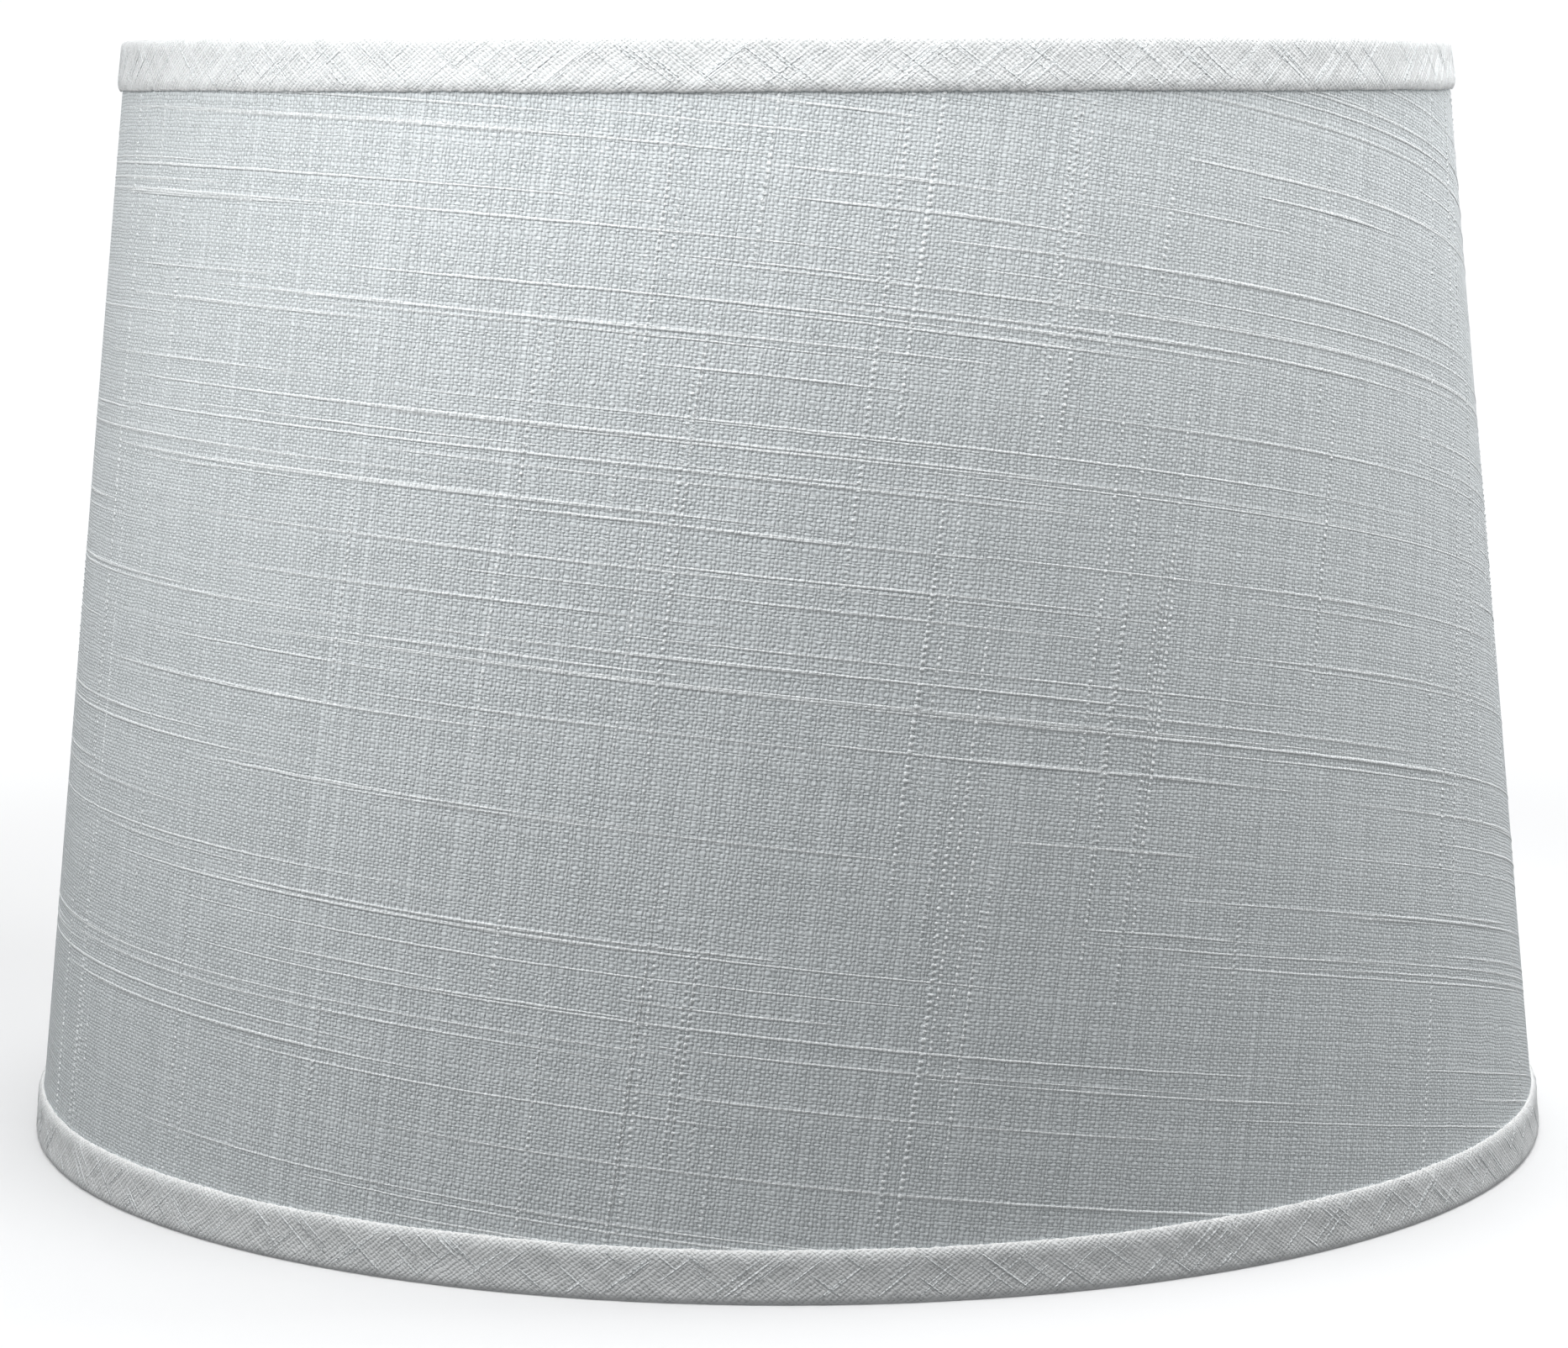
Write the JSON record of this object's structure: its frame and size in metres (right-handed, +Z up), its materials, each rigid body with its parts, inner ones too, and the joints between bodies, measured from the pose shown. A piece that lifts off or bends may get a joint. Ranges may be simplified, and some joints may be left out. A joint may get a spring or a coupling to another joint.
{
  "type": "lamp shade",
  "caption": "Tapered drum hardback lamp shade in white slub linen with bias-tape rims and a recessed washer-type spider fitter for a harp.",
  "frame": {"origin": "middle of the bottom rim, at the height of the surface that the shade stands on", "axes": "+Z up along the shade's axis, through the fitter washer; the sheet's seam is at +Y, at the back; -Y is the front"},
  "size_m": [0.3578, 0.3589, 0.2527],
  "materials": {
    "linen_cloth": "white slub linen, plain weave, bonded flat",
    "linen_tape": "the same linen cut on the bias and folded",
    "styrene": "smooth white translucent sheet",
    "adhesive_tape": "clear double-sided tape",
    "plated_wire": "dull nickel plate"
  },
  "bodies": {
    "root": {"fabric_cover": "linen_cloth", "styrene_lining": "styrene", "seam_tape": "adhesive_tape", "top_trim": "linen_tape", "bottom_trim": "linen_tape", "top_ring": "plated_wire", "bottom_ring": "plated_wire", "spider_arm_right": "plated_wire", "spider_arm_left": "plated_wire", "spider_arm_front": "plated_wire", "spider_washer": "plated_wire"}
  },
  "joints": []
}
